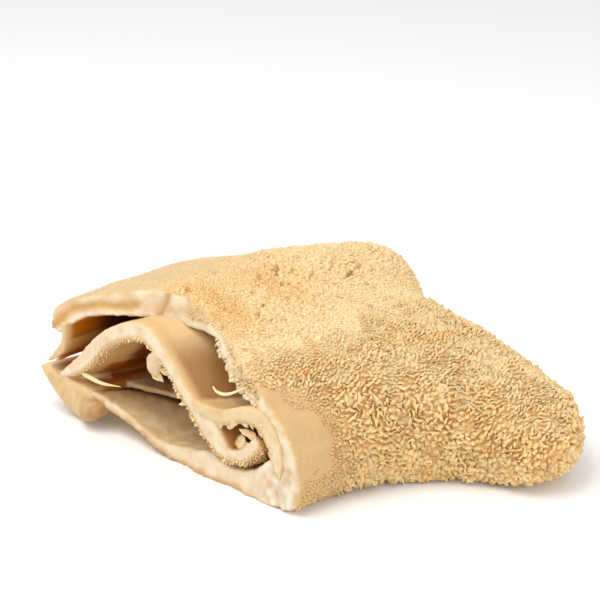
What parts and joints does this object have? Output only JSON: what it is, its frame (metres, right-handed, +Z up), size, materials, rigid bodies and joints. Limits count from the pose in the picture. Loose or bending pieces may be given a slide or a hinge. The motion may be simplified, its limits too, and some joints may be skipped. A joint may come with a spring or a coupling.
{
  "type": "beef tripe",
  "caption": "Folded piece of beef tripe, papillae outside, cut across at one end so that its rolled inner layers show.",
  "frame": {"origin": "middle of the underside of the folded piece's bounding box, on the surface it lies on", "axes": "+Z up, +X to the right and +Y away from a viewer who faces the front side, with the cut end at the front left"},
  "size_m": [0.2678, 0.2144, 0.0785],
  "materials": {
    "tripe": "moist, soft, pale yellow cream papillae outside and smooth tan inside"
  },
  "bodies": {
    "root": {"tripe": "tripe"}
  },
  "joints": []
}
